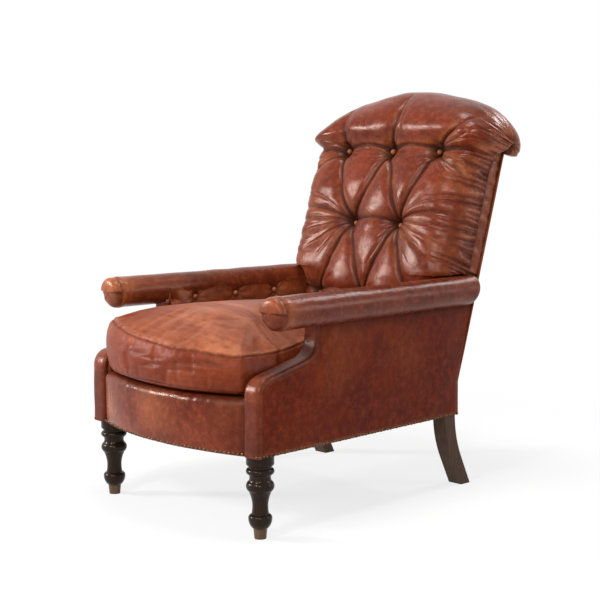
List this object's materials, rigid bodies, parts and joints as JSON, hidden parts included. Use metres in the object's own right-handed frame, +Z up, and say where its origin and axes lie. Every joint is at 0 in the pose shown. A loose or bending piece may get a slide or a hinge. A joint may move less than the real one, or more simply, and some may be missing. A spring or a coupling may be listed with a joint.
{
  "type": "easy chair",
  "caption": "Low leather easy chair with a deep-buttoned scroll back, rolled arms on S-curved fronts, a loose bow-fronted cushion and turned front legs.",
  "frame": {"origin": "on the floor, under the middle of the overall width and depth", "axes": "+Z up, the sitter faces -Y, +X is the sitter's left"},
  "size_m": [0.6482, 0.9684, 0.9615],
  "materials": {
    "turned_wood": "dark stained, satin",
    "frame_wood": "sawn beech, unfinished",
    "hide": "aged chestnut hide, waxed",
    "cushion_hide": "soft chestnut hide, matt",
    "linen": "woven linen and jute",
    "dust_cloth": "black cotton",
    "stuffing": "hair and feather filling",
    "spring_steel": "coppered spring wire"
  },
  "bodies": {
    "chair_frame": {"arm_buttons_left": "hide", "arm_buttons_right": "hide", "arm_facing_left": "hide", "arm_facing_right": "hide", "arm_rail_left": "frame_wood", "arm_rail_right": "frame_wood", "arm_roll_left": "hide", "arm_roll_right": "hide", "arm_stump_left": "frame_wood", "arm_stump_right": "frame_wood", "back_buttons": "hide", "back_hessian": "linen", "back_side_panel_left": "hide", "back_side_panel_right": "hide", "back_webbing": "linen", "corner_blocks": "frame_wood", "crest_rail": "frame_wood", "dust_cover": "dust_cloth", "frame_dowels": "frame_wood", "front_border": "hide", "front_leg_left": "turned_wood", "front_leg_right": "turned_wood", "front_seat_rail": "frame_wood", "inside_arm_pad_left": "hide", "inside_arm_pad_right": "hide", "inside_back_pad": "hide", "lower_back_rail": "frame_wood", "outside_arm_left": "hide", "outside_arm_right": "hide", "outside_back": "hide", "rear_post_left": "turned_wood", "rear_post_right": "turned_wood", "rear_seat_rail": "frame_wood", "seat_hessian": "linen", "seat_platform_cover": "linen", "seat_springs": "spring_steel", "seat_stuffing": "stuffing", "seat_webbing": "linen", "side_seat_rail_left": "frame_wood", "side_seat_rail_right": "frame_wood", "top_roll": "hide"},
    "seat_cushion": {"cushion_case": "cushion_hide", "cushion_core": "stuffing"}
  },
  "joints": [
    {"name": "cushion_slide", "type": "slide", "parent": "chair_frame", "child": "seat_cushion", "axis": [0, -0.9994, 0.0349], "range_m": [0, 0.65]}
  ]
}
